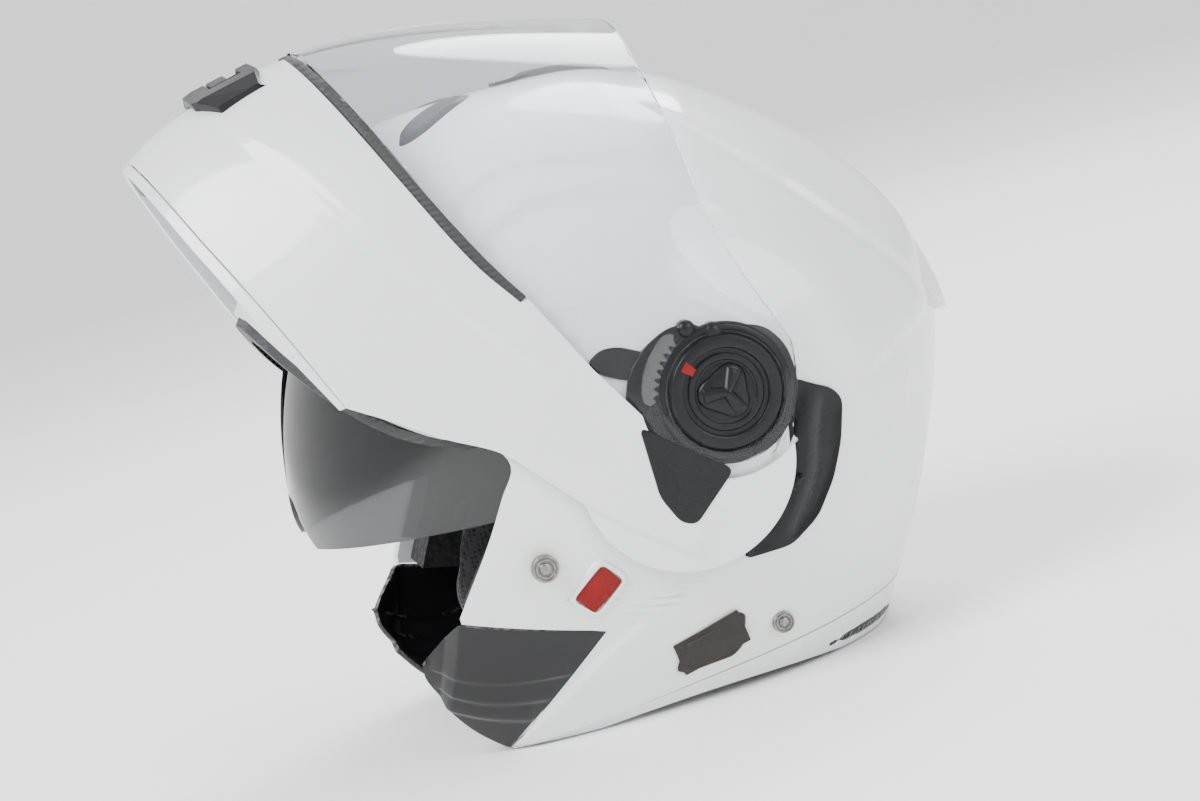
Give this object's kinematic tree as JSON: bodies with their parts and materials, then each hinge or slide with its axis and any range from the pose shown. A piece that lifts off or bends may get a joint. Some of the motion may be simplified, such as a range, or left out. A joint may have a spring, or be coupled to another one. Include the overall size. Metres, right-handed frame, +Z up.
{
  "type": "modular helmet",
  "caption": "Modular motorcycle helmet with a lifting chin bar, clear visor, inner sun visor, vents and padded lining, shown open.",
  "frame": {"origin": "middle plane, on the flat under the base trim, straight below the chin bar's hinge line", "axes": "+X to the wearer's left, -Y the way the face looks, +Z up"},
  "size_m": [0.2626, 0.3292, 0.3011],
  "materials": {
    "gloss_white": "gloss white lacquer",
    "foam": "dark expanded foam",
    "lining": "black knitted lining",
    "webbing": "black woven webbing",
    "seal_rubber": "black rubber",
    "gloss_black": "gloss black",
    "matte_black": "satin black",
    "red_plastic": "red translucent plastic",
    "steel": "satin steel",
    "clear_visor": "clear polycarbonate",
    "smoke_visor": "dark smoke polycarbonate"
  },
  "bodies": {
    "shell": {"outer_shell": "gloss_white", "base_trim": "gloss_white", "foam_liner": "foam", "crown_pad": "lining", "neck_roll": "lining", "brow_seal": "seal_rubber", "cheek_pad_left": "lining", "cheek_pad_right": "lining", "cheek_cover_left": "gloss_black", "cheek_cover_right": "gloss_black", "recess_trim_left": "matte_black", "recess_trim_right": "matte_black", "front_vent_left": "matte_black", "front_vent_right": "matte_black", "hinge_pins": "steel", "latch_pins": "steel", "strap_rivets": "steel", "sun_visor_brackets": "matte_black", "crown_hood": "gloss_white", "rear_spoiler": "gloss_white", "rear_vent": "matte_black", "chin_strap_left": "webbing", "chin_strap_right": "webbing", "buckle_body": "steel", "buckle_pin": "steel", "buckle_tongue": "matte_black"},
    "chin_bar": {"chin_bar_shell": "gloss_white", "chin_bar_lip": "gloss_white", "chin_bar_liner": "foam", "visor_gasket": "seal_rubber", "chin_vent": "matte_black", "visor_base_left": "matte_black", "visor_base_right": "matte_black", "visor_hub_left": "matte_black", "visor_hub_right": "matte_black", "hub_bosses": "matte_black", "hub_marks": "red_plastic"},
    "visor": {"visor": "clear_visor"},
    "sun_visor": {"sun_visor": "smoke_visor"},
    "sun_visor_slider": {"sun_visor_slider": "matte_black"},
    "lock_slider": {"lock_slider": "red_plastic"},
    "crown_vent_slider": {"crown_vent_slider": "matte_black"},
    "chin_vent_slider": {"chin_vent_slider": "matte_black"},
    "release_button": {"release_button": "matte_black"},
    "latch_hooks": {"latch_hook_left": "steel", "latch_hook_right": "steel"},
    "buckle_lever": {"buckle_lever": "steel"}
  },
  "joints": [
    {"name": "chin_bar_hinge", "type": "hinge", "parent": "shell", "child": "chin_bar", "pos_m": [0, 0, 0.1014], "axis": [1, 0, 0], "range_deg": [0, 68]},
    {"name": "visor_hinge", "type": "hinge", "parent": "chin_bar", "child": "visor", "pos_m": [0, 0.02192, 0.12482], "axis": [-1, 0, 0], "range_deg": [0, 55]},
    {"name": "sun_visor_hinge", "type": "hinge", "parent": "shell", "child": "sun_visor", "pos_m": [0, -0.02, 0.135], "axis": [-1, 0, 0], "range_deg": [0, 48]},
    {"name": "sun_visor_slide", "type": "slide", "parent": "shell", "child": "sun_visor_slider", "axis": [0, -0.9744, -0.225], "range_m": [0, 0.014]},
    {"name": "lock_slide", "type": "slide", "parent": "shell", "child": "lock_slider", "axis": [0, -0.809, -0.5878], "range_m": [0, 0.005]},
    {"name": "crown_vent_slide", "type": "slide", "parent": "shell", "child": "crown_vent_slider", "axis": [0, 1, 0], "range_m": [0, 0.008]},
    {"name": "chin_vent_slide", "type": "slide", "parent": "chin_bar", "child": "chin_vent_slider", "axis": [0, 0.9272, 0.3746], "range_m": [0, 0.005]},
    {"name": "release_press", "type": "slide", "parent": "chin_bar", "child": "release_button", "axis": [0, 0.9272, 0.3746], "range_m": [0, 0.003], "stiffness_N_per_m": 400, "springref_m": -0.001},
    {"name": "latch_slide", "type": "slide", "parent": "chin_bar", "child": "latch_hooks", "axis": [0, 0.7272, 0.6864], "range_m": [0, 0.003]},
    {"name": "buckle_lever_hinge", "type": "hinge", "parent": "shell", "child": "buckle_lever", "pos_m": [-0.028, 0.026, 0.0097], "axis": [0, -1, 0], "range_deg": [0, 35]}
  ],
  "couplings": [
    {"joint": "sun_visor_slide", "follows": "sun_visor_hinge", "m_per_rad": 0.016711},
    {"joint": "latch_slide", "follows": "release_press", "ratio": 1}
  ]
}
